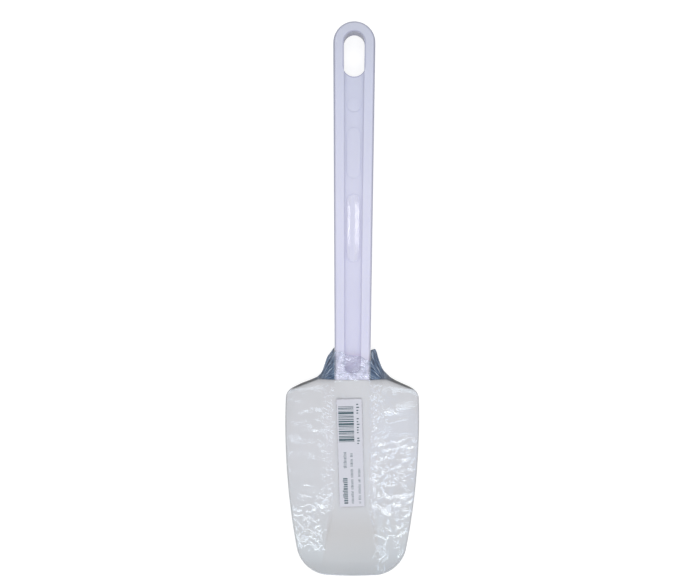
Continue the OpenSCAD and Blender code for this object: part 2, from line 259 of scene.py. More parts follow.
def place(x, b, z):
    """Points of the row frame, in millimetres, from plan places and heights."""
    return np.stack(np.broadcast_arrays(x, SHOULDER_Y - b, z), -1)


def mirrored(right, left):
    """Rows of points from the left rim to the right one, from rows that run from the centre to a rim."""
    left = left[:, :0:-1].copy()
    left[..., 0] *= -1
    return np.concatenate([left, right], 1)


# ------------------------ blade
# Rows: steps round the half rim, close together at first for the rounded shoulder edge
BLADE_STEPS = np.concatenate([
    [0, 0.006, 0.02, 0.04, 0.065, 0.1],
    np.linspace(0.2, SIDE_STEPS, 90),
    np.linspace(SIDE_STEPS, SIDE_STEPS + CORNER_STEPS, 29)[1:],
    np.linspace(SIDE_STEPS + CORNER_STEPS, HALF_STEPS, 15)[1:],
])
# Columns: places q by the spine's side, from 0 at its top edge to 1 at its foot, then on the wing and its rim
Q_TOP = -9.0
Q_INNER = (-0.7, -0.45, -0.28, -0.15, -0.05, 0.05, 0.15, 0.3, 0.5, 0.7, 0.85, 0.95)
Q_OUTER = (1.0, 1.08, 1.18, 1.32, 1.55, 1.9, 2.4)
TOP_COLUMNS, WING_COLUMNS, ROUND_COLUMNS = 7, 25, 5
SPINE_SOFT = 0.35
# The spine stands lower over this run, which ends this far past it
STAND_RUN, STAND_PAST = 14.0, 1.5
BLADE_MERGE, FILM_MERGE = 0.002, 0.004


def soft_step(q):
    """0 before q = 0 and 1 after q = 1, a straight slope between them, with soft corners."""
    return 0.5 * (np.hypot(q, SPINE_SOFT) - np.hypot(q - 1, SPINE_SOFT) + 1)


def rounded_drop(distance, radius):
    """How far a rounded edge lies under the face at this distance in from the edge."""
    d = np.clip(distance, 0, radius)
    return radius - np.sqrt(np.maximum(radius**2 - (radius - d) ** 2, 0))


def make_blade():
    rim, foot, top = rim_at(BLADE_STEPS), ring_at(BLADE_STEPS, 0), ring_at(BLADE_STEPS, 1)
    outwards = rim - foot
    wing_w = np.linalg.norm(outwards, axis=1, keepdims=True)
    outwards = outwards / wing_w
    run = np.linalg.norm(foot - top, axis=1, keepdims=True)
    bent = held(1 - BLADE_STEPS / BENT_STEPS)[:, None]

    # Each column is its plan places, its q, and its share of the way from the foot to the rim
    inner = mix(top, foot, Q_INNER[0])
    centre = centre_at(BLADE_STEPS, inner)
    columns = [(mix(centre, inner, t), np.full_like(run, Q_TOP), np.zeros_like(run))
               for t in np.linspace(0, 1, TOP_COLUMNS + 1)[:-1]]
    columns += [(mix(top, foot, q), np.full_like(run, q), np.zeros_like(run)) for q in Q_INNER]
    shares = [(q - 1) * run / wing_w for q in Q_OUTER]
    last_wing = 1 - EDGE_ROUND / wing_w
    shares += [mix(shares[-1], last_wing, t) for t in np.linspace(0, 1, WING_COLUMNS + 1)[1:]]
    rim_round = np.radians(np.linspace(0, 90, ROUND_COLUMNS + 1)[1:])
    shares += [1 - EDGE_ROUND * (1 - math.sin(a)) / wing_w for a in rim_round]
    for share in shares:
        straight = foot + outwards * share * wing_w
        bend = shoulder_at(share[:, 0]) - mix(foot[:1], rim[:1], share)
        columns.append((straight + bent * bend, 1 + share * wing_w / run, share))

    plan, q, share = (np.stack(values, 1) for values in zip(*columns))
    q, share, b = q[..., 0], share[..., 0], plan[..., 1]
    rise = rim_rise(rim[:, 1])[:, None] * share**2
    wing_front = BACK_Z + rise + mix(WING_T, EDGE_T, share)
    stand = (spine_z(b) - BACK_Z - WING_T) * eased((SPINE_L + STAND_PAST - b) / STAND_RUN)
    front = wing_front + stand * (1 - soft_step(q))
    front = np.minimum(front, np.maximum(spine_z(b), wing_front))
    from_shoulder = np.linalg.norm(plan - plan[:1], axis=-1)
    from_rim = (1 - share) * wing_w
    drop = np.maximum(rounded_drop(from_rim, EDGE_ROUND), rounded_drop(from_shoulder, EDGE_ROUND))

    sheets = [place(plan[..., 0], b, z) for z in (front - drop, BACK_Z + rise + drop)]
    upper, lower = (mirrored(half, half) for half in sheets)
    rows, wide = upper.shape[:2]
    n = rows * wide
    faces = grid_faces(rows, wide, flip=True) + grid_faces(rows, wide, first=n)
    for r in range(rows - 1):
        k = r * wide
        faces.append([k, k + wide, n + k + wide, n + k])
        k += wide - 1
        faces.append([k, n + k, n + k + wide, k + wide])
    faces += [[c, n + c, n + c + 1, c + 1] for c in range(wide - 1)]
    points = np.concatenate([upper.reshape(-1, 3), lower.reshape(-1, 3)])
    return new_mesh("blade_body", points, faces, merge_mm=BLADE_MERGE)


# ------------------------ shrink film
# Half widths of the gathered ears at distances b down the tool, left and right, seen from the front
LEFT_EAR = (
    (-14.3, 8.6), (-13.3, 9.3), (-11.9, 10.3), (-10.5, 11.4), (-9.2, 12.0), (-6.4, 12.9), (-3.7, 13.8),
    (-2.2, 14.7), (-0.7, 16.3), (0.7, 19.6), (2.1, 23.3), (3.5, 26.1), (4.9, 28.0), (5.6, 28.8),
)
RIGHT_EAR = (
    (-13.9, 10.4), (-13.3, 10.75), (-11.9, 11.35), (-10.5, 11.65), (-7.8, 12.55), (-5.0, 13.65), (-3.6, 14.6),
    (-2.1, 16.1), (-0.7, 17.6), (0.7, 20.0), (2.1, 23.1), (3.5, 26.3), (4.9, 28.1), (6.2, 29.2),
)
# From this distance b, over this run, the width of the ear passes into that of the blade
EAR_END, EAR_FADE = 3.5, 2.5
# The hem's distance b at shares of the way out, and the share of the handle's edge
LEFT_HEM = (
    (0, -11.0), (0.12, -11.5), (0.2, -11.8), (0.26, -12.6), (0.45, -12.8), (0.52, -13.7), (1, -14.3),
)
RIGHT_HEM = (
    (0, -11.0), (0.12, -10.7), (0.22, -10.5), (0.3, -9.7), (0.44, -8.3), (0.49, -12.4), (0.6, -13.4),
    (1, -13.6),
)
RAIL_SHARE = 0.45
HEM_RIPPLE, HEM_RIPPLES = 0.18, 23
EAR_ROWS = 76
# Distance from the middle where the free film of the ears has ended
EAR_OUT = 29.8
# The end of the front channel, which shows dark through the film: painted shade of the pocket
POCKET_W, POCKET_END = 8.2, 2.5
# Painted shade of the creases that run along the hem: how far below it, and how dark they look
HEM_CREASE_SHADES = ((1.4, 0.44), (3.1, 0.36), (4.9, 0.30), (6.8, 0.26))
HEM_CREASE_W = 0.28
# Seeds and wavelengths of the creases of painted shade that cross the handle, and how wide they are
CROSSED_CREASE_SHADES = ((SEED + 6, 5.4), (SEED + 7, 4.0))
CROSSED_W = 0.30
SIDE_ROWS, CORNER_ROWS, TIP_ROWS = 226, 56, 28
COLUMNS_CENTRE, COLUMNS_WING, COLUMNS_BACK = 28, 62, 20
# Shares of the way round the rim, from the upper sheet to the lower one
RIM_TURN = (0.33, 0.66)
# The top is never wider than this share of the film, and the run beside it never shorter than this
TOP_SHARE, LEAST_RUN = 0.98, 0.05
# How softly the film bends over the edge of what it wraps
BEND_SOFT = 0.03
# The relief's slow swell, how far the creases of zones and of single folds wander, and how the pleats,
# the distance from the hem and the creases of the ears vary: reach, wavelength and number of waves
SWELL, WANDER, FINE_WANDER, SINGLE_WANDER = (0.05, 14, 9), (0.7, 8, 6), (0.16, 2.2, 8), (0.18, 3.0, 8)
PLEAT_WAVES, HEM_WAVES, PATCH_WAVES = (0.4, 4.0, 8), (0.5, 5.0, 8), (0.7, 3.5, 8)
# Pleats of the ears, coarse and fine: radians from the middle to the rim, and the share of the fine ones
PLEAT_TURN, FINE_TURN, FINE_SHARE = 58, 101, 0.7
PLEAT_H = 0.16
# The hem's rolled edge: its height, and its width in rows
ROLL_H, ROLL_ROWS = 0.12, 1.6
# The lowest that a fold lies under the taut film on the handle, the spine and the wings
LOW_HANDLE, LOW_SPINE, LOW_WING = -0.26, -0.12, -0.6
# How dark the film looks in the channel, along the rim, at the hem, in crossing creases and round the rim:
# painted shade, but for the hem
POCKET_SHADE, RIM_SHADE, HEM_DARK, CROSSED_SHADE, TURNED_SHADE = 0.22, 0.25, 0.55, 0.30, 0.45
# Angle on the shoulder corner where the film first touches the rim
TOUCH_A = -45
EAR_B = on_circle(CORNER_C, SHOULDER_R, TOUCH_A)[1]
RIM_LINE = rim_at(np.linspace(0, HALF_STEPS, 900), FILM_GAP)
# Past this distance b each point's half width is taken from that line
STRAIGHT_B = 12


def neck_half(b):
    return NECK_W / 2 + np.maximum(0, -b) * math.tan(TAPER)


def past_spine(b):
    return held((b - SPINE_L) / SPINE_STOP)


def film_spine_top(b):
    on_blade = mix(spine_z(np.minimum(b, SPINE_L)), BACK_Z + TIP_H + EDGE_T, past_spine(b))
    return FILM_GAP + np.where(b < 0, BACK_Z + HANDLE_T, on_blade)


def film_spine_back(b):
    return BACK_Z - FILM_GAP + TIP_H * past_spine(b) ** 2


def opened(b):
    """0 where the film is gathered above the shoulders, and 1 where it lies on the blade's rim."""
    return eased((b + SHOULDER_R) / (2 * SHOULDER_R))


def film_rim_top(b):
    return BACK_Z + FILM_GAP + opened(b) * (rim_rise(b) + EDGE_T)


def film_rim_back(b):
    return BACK_Z - FILM_GAP + eased((b - EAR_B / 2) / (BACK_SHARE * WIDEST_AT)) * rim_rise(b)


def film_half(b, ear):
    """Half the film's width at b: the measured ear, then the rim of the blade, grown by the gap."""
    corner_line = on_circle(CORNER_C, SHOULDER_R + FILM_GAP, np.linspace(TOUCH_A, CORNER_A, 20))[:-1]
    rim = np.concatenate([corner_line, RIM_LINE])
    on_rim = np.interp(b, rim[:, 1], rim[:, 0])
    return mix(np.interp(b, *np.transpose(ear)), on_rim, eased((b - EAR_END) / EAR_FADE))


def half_plan(ear, hem_line, phase):
    """Plan places (x, b) of the film's upper sheet on one side, from the centre to the rim."""
    start_b = RIM_LINE[0, 1]
    u_centre = np.linspace(0, 1, COLUMNS_CENTRE + 1)
    u_wing = np.linspace(0, 1, COLUMNS_WING + 1)[1:]

    def ruled(b_column):
        """x of each column where column c of a row lies at b_column."""
        top = np.where(b_column < 0, neck_half(b_column), spine_half(b_column)) + FILM_GAP
        wide = film_half(b_column, ear)
        first_wing = COLUMNS_CENTRE + 1
        x_wing = mix(top[:, first_wing:], wide[:, first_wing:], u_wing)
        return np.concatenate([u_centre * top[:, :first_wing], x_wing], 1)

    out = np.concatenate([u_centre * RAIL_SHARE, mix(RAIL_SHARE, 1, u_wing)])
    hem = np.interp(out, *np.transpose(hem_line))
    hem = hem + HEM_RIPPLE * np.sin(HEM_RIPPLES * out + phase) * eased(out / 0.1)
    b = mix(hem[None, :], start_b, np.linspace(0, 1, EAR_ROWS + 1)[:-1, None])
    ears = np.stack([ruled(b), b], -1)

    steps = np.concatenate([
        np.linspace(0, SIDE_STEPS, SIDE_ROWS),
        np.linspace(SIDE_STEPS, SIDE_STEPS + CORNER_STEPS, CORNER_ROWS)[1:],
        np.linspace(SIDE_STEPS + CORNER_STEPS, HALF_STEPS, TIP_ROWS)[1:],
    ])
    rim, top = rim_at(steps, FILM_GAP), ring_at(steps, 1)
    centre = centre_at(steps, top)
    body = np.concatenate(
        [mix(centre[:, None], top[:, None], u_centre[None, :, None]),
         mix(top[:, None], rim[:, None], u_wing[None, :, None])], 1)
    first = np.stack([ruled(np.full((1, body.shape[1]), start_b))[0], np.full(body.shape[1], start_b)], -1)
    bent = eased(1 - steps / BENT_STEPS)[:, None, None]
    body = body + bent * (first - body[0])
    return np.concatenate([ears, body], 0)


def film_height(x, b, half):
    """Height of the taut upper sheet: over the spine or handle, then straight down to the rim."""
    top_half = np.where(b < 0, neck_half(b), spine_half(b)) + FILM_GAP
    top_half = np.minimum(top_half, TOP_SHARE * half)
    s = (np.abs(x) - top_half) / np.maximum(half - top_half, LEAST_RUN)
    s = 0.5 * (s + np.hypot(s, BEND_SOFT))
    return mix(film_spine_top(b), film_rim_top(b), np.minimum(s, 1))


def waves(x, y, size, rng):
    """Smooth irregular relief from crossed waves of near the same length: size is their reach to either
    side, their wavelength and their number."""
    reach, wavelength, count = size
    out = np.zeros_like(x)
    for _ in range(count):
        a = rng.uniform(0, 2 * math.pi)
        k = 2 * math.pi / (wavelength * rng.uniform(0.7, 1.5))
        out += np.sin(k * (x * math.cos(a) + y * math.sin(a)) + rng.uniform(0, 6.28))
    return reach * (out / math.sqrt(count / 2) / 1.5)


def folded(t):
    """A triangle wave of t between -1 and 1, with sharp creases."""
    return 4 * np.abs(t - np.floor(t + 0.5)) - 1


def ridge(x, y, at_x, at_y, degrees, length, width, slope, bow=0.0):
    """Relief of one fold: a sharp ridge with two flat flanks, pointed at both ends."""
    a = math.radians(degrees)
    dx, dy = x - at_x, y - at_y
    t = (dx * math.cos(a) + dy * math.sin(a)) / (length / 2)
    d = -dx * math.sin(a) + dy * math.cos(a) - bow * (1 - t * t)
    roof = width * held(1 - t * t) - np.abs(d)
    return slope * 0.5 * (roof + np.sqrt(roof * roof + 0.01 * width)) * held((1 - t * t) * 4)


# Zones of crossed folds: x and y from and to, softness of the border, and for each set of folds the
# direction of its creases, its wavelength and its slope
ZONES = (
    # right wing: the long mild folds, the dense field, the lower part, the folds by the tip
    (12, 29, -62, -40, 3, ((4, 8, 0.035), (-20, 11, 0.03))),
    (9.6, 28, -84, -63, 2, ((12, 3.6, 0.24), (-24, 5, 0.12), (52, 4, 0.08), (24, 1.7, 0.1))),
    (9.8, 27.6, -99, -82, 2, ((9, 4.6, 0.2), (-35, 6, 0.15), (70, 4.8, 0.1), (20, 1.8, 0.08))),
    (10, 27, -110, -98, 2, ((3, 5, 0.08), (-48, 4.6, 0.08), (80, 3.5, 0.05))),
    (10.5, 16.5, -124, -109, 1.5, ((97, 1.9, 0.16), (78, 3.1, 0.12))),
    (18.5, 22.5, -114, -109.5, 1.2, ((30, 1.4, 0.13), (-50, 1.6, 0.13))),
    (9.3, 12.2, -88, -79, 0.8, ((40, 1.1, 0.2), (-30, 1.3, 0.2))),
    # left wing: mild folds, the streaked band and the net under it
    (-29, -13, -89, -40, 3, ((-9, 7, 0.05), (14, 9, 0.04), (34, 3.2, 0.05))),
    (-25, -9, -95, -88.5, 1.5, ((6, 1.8, 0.2), (-14, 2.6, 0.18))),
    (-27.5, -13.5, -115, -94.5, 2, ((33, 2.6, 0.14), (-31, 2.9, 0.15), (82, 2.2, 0.08), (-60, 1.6, 0.06))),
    # fine crinkles beside the spine, curls by the right shoulder, and those over the handle
    (-13.6, -8.2, -97, -38.5, 1.2, ((68, 1.6, 0.2), (-22, 1.3, 0.22), (15, 2.3, 0.14))),
    (7.6, 12.5, -99, -38.5, 1.2, ((112, 1.6, 0.2), (24, 1.3, 0.2), (-20, 2.3, 0.14))),
    (8.5, 15.5, -56, -38.5, 1.5, ((35, 1.7, 0.15), (-42, 2, 0.17))),
    (-8.4, 8.4, -37.4, -23.5, 1, ((-3, 2.4, 0.34), (9, 3.2, 0.22), (64, 3, 0.1))),
)
# Width from which a single fold is a plain facet, with no crossed folds on it
BROAD_FOLD = 2.0
# Single folds: x, y, direction of the crease, length, width of each flank, slope, and bow if there is one
RIDGES = (
    # right wing, from the shoulder to the tip
    (15.2, -38.8, -28, 5, 0.5, 0.2, -0.6), (12.9, -40.2, 20, 1.6, 0.7, 0.28),
    (10.8, -43.2, 0, 2.6, 0.6, 0.28, -0.8), (9.8, -41, -58, 3.6, 0.7, 0.3, 0.5),
    (11.8, -42, 48, 3.8, 0.7, 0.28, -0.6), (13.4, -39.8, -18, 4.2, 0.6, 0.28, 0.5),
    (16.4, -41.4, -12, 4.4, 0.6, 0.26, 0.5), (12.8, -45.6, -34, 3.8, 0.7, 0.28, 0.3),
    (10.2, -47.6, 64, 3.2, 0.6, 0.28, 0.3), (20, -42.6, 0, 4.2, 0.8, 0.25, 0.1),
    (23.1, -49.2, 0, 10, 0.9, 0.28, 0.2), (20.4, -49.4, 0, 3.4, 1.1, 0.19),
    (13.5, -51.6, 41, 4, 0.7, 0.25, 0.2), (16.4, -50.8, 2, 4.6, 1.3, 0.25, 0.4),
    (19.6, -51.2, -21, 5.2, 0.8, 0.25, 0.2), (22.6, -54.8, 9, 8, 0.6, 0.25, 0.2),
    (17, -56, 5, 9, 0.5, 0.15, 0.2), (24.7, -63, 9, 5.4, 0.9, 0.28, 0.3), (28, -63.9, 8, 3.2, 0.9, 0.28),
    (12, -65.9, -60, 3.2, 0.8, 0.28), (17.9, -66.8, 20, 7, 0.9, 0.28, 0.2),
    (22.2, -70.1, 31, 6.4, 0.8, 0.28, 0.2), (18.3, -69.8, 4, 3.8, 1.2, 0.25, 0.1),
    (13, -71.4, -36, 4.4, 1, 0.25), (15.8, -71.6, -18, 3.2, 1, 0.25), (23.4, -72.8, 8, 7.2, 2.2, 0.21, 0.5),
    (15.2, -73.7, 2, 7.4, 0.7, 0.22, 0.3), (18.9, -76.9, 14, 5.2, 1, 0.28, 0.2),
    (15.1, -77.5, 2, 3, 0.9, 0.28), (11, -78.2, 62, 3, 0.8, 0.28), (24.6, -78.4, 12, 10, 0.8, 0.28, 0.3),
    (21.1, -81.4, 11, 10, 1, 0.25, 0.5), (19.4, -84, 8, 9, 1, 0.25, -0.4),
    (22.8, -85.7, 15, 8.6, 1, 0.28, 0.8), (23, -88.9, 8, 9, 3.4, 0.2, 0.3), (17.2, -90, -45, 4.6, 1.4, 0.25),
    (12.4, -87.4, -58, 4.6, 1.4, 0.25), (14.9, -95.8, -36, 8.6, 2.2, 0.2, 0.4),
    (10.2, -95.2, -66, 4.8, 0.6, 0.22, 0.2), (24.6, -95.4, -24, 4.6, 1.6, 0.25, 0.2),
    (21.5, -100.3, -3, 9.4, 0.6, 0.25, 0.2), (24.4, -101.8, -6, 4.6, 0.5, 0.25),
    (23.7, -105.6, 45, 7, 0.7, 0.3), (17.2, -105.2, -39, 5, 0.6, 0.25), (14.1, -105.8, -80, 4, 0.5, 0.25),
    (18.5, -108.4, 2, 6.6, 0.5, -0.3), (20.4, -113.6, 3, 4.4, 0.5, 0.25),
    (12.4, -114.6, -74, 7, 0.6, 0.25, 0.2), (13.9, -115.6, -80, 7.4, 0.6, 0.25, 0.1),
    (15.4, -114.8, -77, 6, 0.5, 0.25), (22.6, -116, 68, 5.6, 0.9, 0.28, 0.2),
    (15.6, -76.4, 58, 7.6, 2.8, 0.2, 0.4), (13.4, -83.6, 74, 6.6, 2.4, 0.2), (19, -80, 50, 5, 2.2, 0.2, 0.3),
    (13, -88, 66, 7.4, 2.8, 0.2, 0.5), (16.4, -94, 20, 5.4, 2.2, 0.2),
    # left wing
    (-22.6, -108.2, 118, 6.4, 2.6, 0.2, 0.4), (-18.6, -105.6, 140, 5.6, 2.2, 0.2),
    (-13.8, -93.4, 160, 7, 2.2, 0.2, 0.3), (-21.4, -42.8, 10, 7, 0.5, -0.2, 0.2),
    (-14.6, -42, -34, 4.6, 0.5, -0.22, 0.2), (-25, -46, 0, 1.8, 0.6, -0.25),
    (-23.4, -52.6, 12, 6, 0.5, -0.18, 0.2), (-16.4, -55.6, -12, 6.4, 0.5, -0.2, 0.2),
    (-22.4, -66.4, 8, 8.4, 0.5, -0.18, 0.3), (-14.6, -64.8, -16, 5, 0.5, -0.2),
    (-20, -73.2, -9, 9, 0.5, -0.2, 0.4), (-22.6, -79, 11, 7.4, 0.5, -0.18, 0.2),
    (-17.6, -78, 6, 6, 0.5, -0.2), (-20.6, -85.8, -7, 9.6, 0.6, -0.22, 0.3),
    (-12.6, -86.8, 24, 4, 0.6, -0.22), (-17.9, -47.6, -18, 9.6, 0.5, -0.15),
    (-15.8, -51.3, 3, 4.8, 0.8, -0.2, 0.1), (-17, -60.4, 2, 4.6, 0.6, -0.28, 0.1),
    (-21.6, -60.2, -3, 5.6, 0.5, -0.15), (-14.7, -69.6, 0, 3.4, 0.6, -0.2), (-13, -73.6, -25, 3.4, 0.5, -0.2),
    (-14.6, -82.2, 4, 3.6, 0.6, -0.22), (-21.1, -90.7, -2, 6.4, 0.7, -0.28, 0.1),
    (-15.6, -90.7, -14, 5.8, 0.8, -0.28, 0.1), (-10.4, -91.2, 55, 4.6, 1.4, -0.28),
    (-12.4, -92.9, 14, 6, 0.8, -0.28, 0.1), (-15.3, -96.2, -78, 3.4, 0.7, -0.28),
    (-19.7, -97.9, -22, 6.4, 0.6, -0.25, 0.2), (-17.1, -97, -5, 3, 0.7, -0.28),
    (-13.5, -98, -26, 2.8, 0.6, -0.28), (-21, -100.9, 15, 2.8, 0.9, -0.28),
    (-17.6, -102, -64, 4.4, 0.8, -0.28), (-15.2, -101.4, 75, 2.4, 0.5, -0.28),
    (-18, -105.4, -22, 10, 0.7, -0.28, 0.4), (-12.2, -106, 12, 2.4, 0.5, -0.25),
    (-20.6, -107.2, 8, 5.2, 1.5, -0.25, 0.2), (-18.7, -109.6, -25, 5.2, 0.6, -0.25, -0.3),
    (-15.5, -108.6, 38, 4.6, 0.6, -0.25, 0.2), (-23.4, -108.4, 72, 6, 0.6, -0.25, 0.5),
    (-24.6, -106, 76, 5, 0.5, -0.25, 0.3), (-24.2, -113.2, -74, 5, 1.1, -0.28, 0.3),
    (-12.9, -114.9, -80, 1.8, 0.5, -0.28), (-6.4, -104.6, 60, 2, 0.5, -0.25),
)


def film_relief(x, y):
    """Folds and crinkles of the upper sheet, in millimetres, above the taut surface."""
    rng = np.random.default_rng(SEED)
    out = waves(x, y, SWELL, rng)
    # The creases of the zones wander, those of the single folds a little
    bent_x, bent_y = (v + waves(x, y, WANDER, rng) + waves(x, y, FINE_WANDER, rng) for v in (x, y))
    crossed = np.zeros(x.shape)
    for x0, x1, y0, y1, soft, folds in ZONES:
        inside = held((bent_x - x0) / soft + 0.5) * held((x1 - bent_x) / soft + 0.5)
        inside = eased(inside * held((bent_y - y0) / soft + 0.5) * held((y1 - bent_y) / soft + 0.5))
        for degrees, wavelength, slope in folds:
            a = math.radians(degrees)
            t = (bent_y * math.cos(a) - bent_x * math.sin(a)) / wavelength + rng.uniform()
            strength = held(0.55 + waves(x, y, (0.6, 2.2 * wavelength, 6), rng))
            crossed += inside * strength * slope * wavelength / 4 * folded(t)
    bent_x, bent_y = (v + waves(x, y, SINGLE_WANDER, rng) for v in (x, y))
    calm = np.ones(x.shape)
    for single in RIDGES:
        fold = ridge(bent_x, bent_y, *single)
        out += fold
        width, slope = single[4:6]
        if width >= BROAD_FOLD:
            calm = np.minimum(calm, 1 - 0.9 * eased(fold / (0.25 * slope * width)))
    return out + crossed * calm


def shoulder_line(x):
    """Distance b of the blade's shoulder edge at x."""
    return np.maximum(0, np.abs(x) - SHOULDER_W / 2) * math.tan(math.radians(SHOULDER_FALL))


def ear_at(x, b):
    """1 where the film hangs free beside the handle, above the shoulders."""
    off_rail = eased((np.abs(x) - neck_half(b) + 0.3) / 0.6)
    off_blade = eased((shoulder_line(x) - b + 0.3) / 0.8)
    return off_rail * off_blade * eased((EAR_OUT - np.abs(x)) / 3)


def pleats(x, y, b, share_out):
    """Ripples of the ears that run from the shoulder to the hem."""
    out = np.sin(PLEAT_TURN * share_out + 2.4 * np.sin(b * 0.35) + 0.8 * np.sin(b * 1.1 + x / 2))
    out += FINE_SHARE * np.sin(FINE_TURN * share_out + 2.0 * np.sin(b * 0.5 + 1) + 0.5 * np.sin(b * 1.7))
    return out * (0.6 + waves(x, y, PLEAT_WAVES, np.random.default_rng(SEED + 1)))


def upper_relief(x, b, row, to_rim, share_out):
    """Relief of the upper sheet, in millimetres: calm at the rim, on the label and on the spine."""
    y = SHOULDER_Y - b
    beside = eased(1 - (np.abs(x - LABEL_X) - LABEL_W / 2) / 1.6)
    on_label = beside * eased(1 - (np.abs(b - LABEL_GAP - LABEL_L / 2) - LABEL_L / 2) / 2.0)
    on_spine = eased(1 - (np.abs(x) - 7.0) / 1.5) * eased((b + 1) / 3)
    fade = eased(to_rim / 2.0) * (1 - 0.95 * on_label) * (1 - 0.8 * on_spine)
    relief = film_relief(x, y) * fade
    relief += PLEAT_H * pleats(x, y, b, share_out) * ear_at(x, b) * eased(to_rim / 1.2 + 0.25)
    relief += ROLL_H * np.exp(-((row / ROLL_ROWS) ** 2))
    # A fold never reaches what the film wraps
    low = np.where(b < -0.5, LOW_HANDLE, np.where(np.abs(x) < spine_half(b) + 1, LOW_SPINE, LOW_WING))
    return np.maximum(relief, low)


def wrapped_round(plan, z):
    """Rows (x, b, z) of the whole sheet: the upper one, then each rim and the lower one, in fewer columns."""
    middle = plan[:, plan.shape[1] // 2, 1]
    inner = np.stack([np.zeros_like(middle), middle], -1)
    backs = []
    for end in (-1, 0):
        rim = plan[:, end]
        rim_x, rim_back = np.abs(rim[:, 0]), film_rim_back(rim[:, 1])
        ring = [np.concatenate([rim, mix(z[:, end], rim_back, t)[:, None]], 1) for t in RIM_TURN]
        for t in np.linspace(0, 1, COLUMNS_BACK + 1)[:-1]:
            at = mix(rim, inner, t)
            b = at[:, 1]
            foot = np.where(b < 0, neck_half(b), foot_half(b)) + FILM_GAP
            foot = np.minimum(foot, TOP_SHARE * rim_x + 1e-6)
            s = held((np.abs(at[:, 0]) - foot) / np.maximum(rim_x - foot, LEAST_RUN))
            s = np.where(b > SPINE_L, 1 - t, s)
            ring.append(np.concatenate([at, mix(film_spine_back(b), rim_back, s * s)[:, None]], 1))
        backs.append(np.stack(ring, 1))
    centre = np.concatenate([inner, film_spine_back(middle)[:, None]], 1)[:, None]
    upper = np.concatenate([plan, z[..., None]], -1)
    return np.concatenate([upper, backs[0], centre, backs[1][:, ::-1]], 1)


def crease_shades(x, b, row):
    """Painted shade of the creases along the hem and of those that cross the handle under it."""
    y = SHOULDER_Y - b
    below_hem = b - b[:1] + waves(x, y, HEM_WAVES, np.random.default_rng(SEED + 2))
    patchy = held(0.6 + waves(x, y, PATCH_WAVES, np.random.default_rng(SEED + 3))) * (row < EAR_ROWS)
    creases = [dark * patchy * np.exp(-(((below_hem - at) / HEM_CREASE_W) ** 2)) for at, dark in HEM_CREASE_SHADES]
    for seed, wavelength in CROSSED_CREASE_SHADES:
        crossing = waves(x, 2.2 * y, (1, wavelength, 9), np.random.default_rng(seed))
        creases.append(CROSSED_SHADE * patchy * (b < 0) * np.exp(-((crossing / CROSSED_W) ** 2)))
    return creases


def gathered(x, b, row, to_rim, around):
    """How gathered the film looks, and where painted shade darkens it, from 0 where it is clear to 1 where it
    is slate blue.
    """
    wide, count = x.shape[1], around.shape[1]
    # Painted shade in the channel's pocket and along the rim
    pocket_shade = POCKET_SHADE * eased((POCKET_W / 2 - np.abs(x)) / 0.7) * eased(-POCKET_END - b)
    rim_shade = RIM_SHADE * np.exp(-((to_rim / 0.45) ** 2))
    hem_edge = HEM_DARK * np.exp(-((row / 1.1) ** 2)) * np.ones(wide)
    shown = [ear_at(x, b), hem_edge, pocket_shade, rim_shade, *crease_shades(x, b, row)]
    out = np.zeros(around.shape[:2], np.float32)
    out[:, :wide] = np.maximum.reduce(shown)
    under_x, under_b = np.abs(around[:, wide:, 0]), around[:, wide:, 1]
    out[:, wide:] = eased((0.6 - under_b + shoulder_line(under_x)) / 0.8)
    out[:, wide:] *= eased((under_x - 8.0) / 0.8) * eased((EAR_OUT - under_x) / 3)
    # Painted shade round the rim
    columns = len(RIM_TURN) + 1
    turned = np.r_[wide : wide + columns, count - columns : count]
    out[:, turned] = np.maximum(out[:, turned], TURNED_SHADE)
    return out


def make_film():
    plan = mirrored(half_plan(RIGHT_EAR, RIGHT_HEM, 1), half_plan(LEFT_EAR, LEFT_HEM, -1))
    x, b = plan[..., 0], plan[..., 1]
    rows, wide = x.shape
    row = np.arange(rows)[:, None]
    rim = np.where(x[..., None] < 0, plan[:, :1], plan[:, -1:])
    to_rim = np.linalg.norm(plan - rim, axis=-1)
    half = np.maximum(np.abs(rim[..., 0]), np.abs(x))
    half = np.where((row >= EAR_ROWS) & (b > STRAIGHT_B), np.interp(b, RIM_LINE[:, 1], RIM_LINE[:, 0]), half)
    share_out = np.abs(np.linspace(-1, 1, wide))
    z = film_height(x, b, half) + upper_relief(x, b, row, to_rim, share_out)

    around = wrapped_round(plan, z)
    count = around.shape[1]
    points = place(around[..., 0], around[..., 1], around[..., 2])
    k = np.arange(rows - 1)[:, None] * count + np.arange(count)[None, :]
    right = np.arange(rows - 1)[:, None] * count + (np.arange(count)[None, :] + 1) % count
    quads = np.stack([k, k + count, right + count, right], -1).reshape(-1, 4).tolist()
    film = new_mesh("film_wrap", points.reshape(-1, 3), quads)
    # How gathered the film is, with painted shade in it
    attribute = film.data.attributes.new("bunching_and_shade", "FLOAT", "POINT")
    attribute.data.foreach_set("value", gathered(x, b, row, to_rim, around).reshape(-1))
    merge_points(film.data, FILM_MERGE)
    return film


# ------------------------ print on the label
def label_frame():
    """Origin and axes of the label's top face: x across, y up the tool, z out of the paper."""
    fall = math.atan2(spine_z(0) - spine_z(SPINE_L), SPINE_L)
    middle_b = LABEL_GAP + LABEL_L / 2
    origin = np.array([LABEL_X, SHOULDER_Y - middle_b, spine_z(middle_b) + WRAP + LABEL_SEAT])
    turn = math.radians(LABEL_TURN)
    about_x = np.array([[1, 0, 0], [0, math.cos(fall), -math.sin(fall)], [0, math.sin(fall), math.cos(fall)]])
    about_z = np.array([[math.cos(turn), -math.sin(turn), 0], [math.sin(turn), math.cos(turn), 0], [0, 0, 1]])
    return origin, about_x @ about_z


INK_T = 0.015
# Width of the grey line of painted shade just inside the label's edge
EDGE_SHADE_W = 0.22
